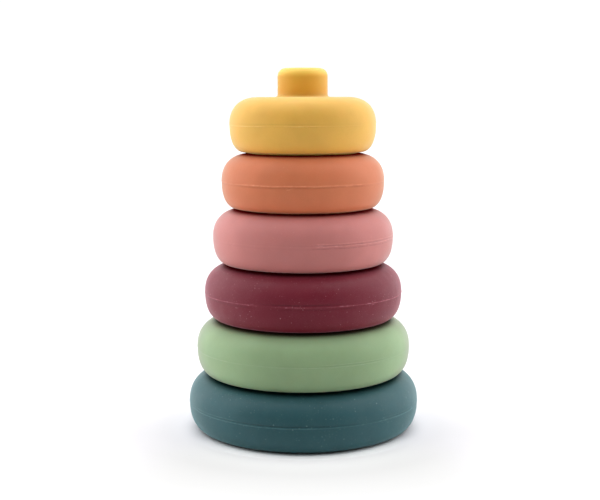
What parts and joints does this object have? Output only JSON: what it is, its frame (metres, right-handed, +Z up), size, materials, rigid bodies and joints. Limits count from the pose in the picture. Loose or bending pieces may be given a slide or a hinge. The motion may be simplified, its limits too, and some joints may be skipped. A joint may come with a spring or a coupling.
{
  "type": "stacking ring toy",
  "caption": "Tapering tower of soft silicone rings for a baby: each ring has a stud on top that plugs into the hollow underside of the ring above.",
  "frame": {"origin": "on the floor, at the centre of the lowest ring's foot", "axes": "+Z up along the shared axis of the rings; the rings are round, so +X and +Y are any two square directions"},
  "size_m": [0.1, 0.1, 0.1556],
  "materials": {
    "teal_silicone": "matte",
    "sage_silicone": "matte",
    "plum_silicone": "matte",
    "pink_silicone": "matte",
    "terracotta_silicone": "matte",
    "mustard_silicone": "matte"
  },
  "bodies": {
    "teal_base_ring": {"teal_base_ring": "teal_silicone"},
    "sage_ring": {"sage_ring": "sage_silicone"},
    "plum_ring": {"plum_ring": "plum_silicone"},
    "pink_ring": {"pink_ring": "pink_silicone"},
    "terracotta_ring": {"terracotta_ring": "terracotta_silicone"},
    "mustard_top_ring": {"mustard_top_ring": "mustard_silicone"}
  },
  "joints": [
    {"name": "sage_lift", "type": "slide", "parent": "teal_base_ring", "child": "sage_ring", "axis": [0, 0, 1], "range_m": [0, 0.02]},
    {"name": "plum_lift", "type": "slide", "parent": "sage_ring", "child": "plum_ring", "axis": [0, 0, 1], "range_m": [0, 0.02]},
    {"name": "pink_lift", "type": "slide", "parent": "plum_ring", "child": "pink_ring", "axis": [0, 0, 1], "range_m": [0, 0.02]},
    {"name": "terracotta_lift", "type": "slide", "parent": "pink_ring", "child": "terracotta_ring", "axis": [0, 0, 1], "range_m": [0, 0.02]},
    {"name": "mustard_top_lift", "type": "slide", "parent": "terracotta_ring", "child": "mustard_top_ring", "axis": [0, 0, 1], "range_m": [0, 0.02]}
  ]
}
